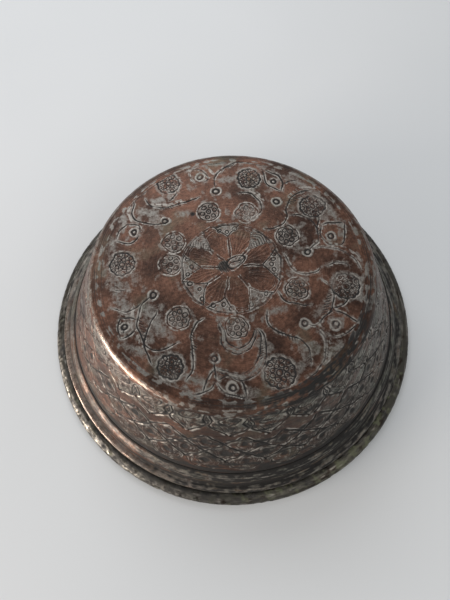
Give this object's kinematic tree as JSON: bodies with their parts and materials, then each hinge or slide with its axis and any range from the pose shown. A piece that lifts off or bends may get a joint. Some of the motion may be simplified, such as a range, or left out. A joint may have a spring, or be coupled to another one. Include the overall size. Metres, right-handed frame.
{
  "type": "bowl",
  "caption": "Round sheet-copper bowl with a flat base, sloping wall, narrow ledge and wired rim, stored upside down on its rim.",
  "frame": {"origin": "centre of the circle on which the rim stands, on the surface that the upside-down bowl rests on", "axes": "+Z is the bowl's axis of turning, from the rim's resting plane up to the outside of the base; the mouth faces -Z; X and Y are level, and the bowl is round, so their heading is free"},
  "size_m": [0.24, 0.24, 0.0765],
  "materials": {
    "copper": "hammered and chased copper, worn brown, with grey remains of tinning",
    "wire": "drawn iron wire, dull",
    "tin": "hand-wiped tin, dulled by use"
  },
  "bodies": {
    "root": {"copper_body": "copper", "rim_wire": "wire", "tin_lining": "tin"}
  },
  "joints": []
}
